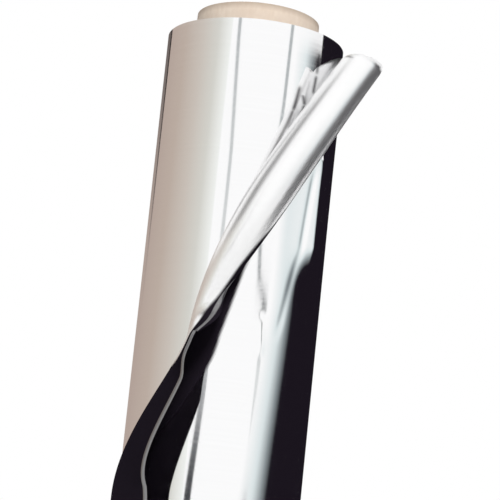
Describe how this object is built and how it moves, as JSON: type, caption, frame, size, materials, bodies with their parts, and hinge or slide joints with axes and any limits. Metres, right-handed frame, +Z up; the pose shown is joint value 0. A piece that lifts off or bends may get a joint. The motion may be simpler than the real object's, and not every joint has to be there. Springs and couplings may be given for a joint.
{
  "type": "aluminium foil roll",
  "caption": "Kitchen foil wound on a board core that stands out at both ends, its outer turn loose, with the leading edge curled into a slanting tube and folded back below.",
  "frame": {"origin": "on the roll's axis, at the lower end of the board core, on which the roll stands", "axes": "+Z up along the roll's axis; -Y towards the side where the curled edge of the loose turn crosses the front; +X to the right of it"},
  "size_m": [0.0576, 0.0585, 0.3134],
  "materials": {
    "core": "matt grey-brown board with a spiral seam",
    "foil": "bright rolled foil outside, satin on the turned-back inner face"
  },
  "bodies": {
    "root": {"core": "core", "foil": "foil"}
  },
  "joints": []
}
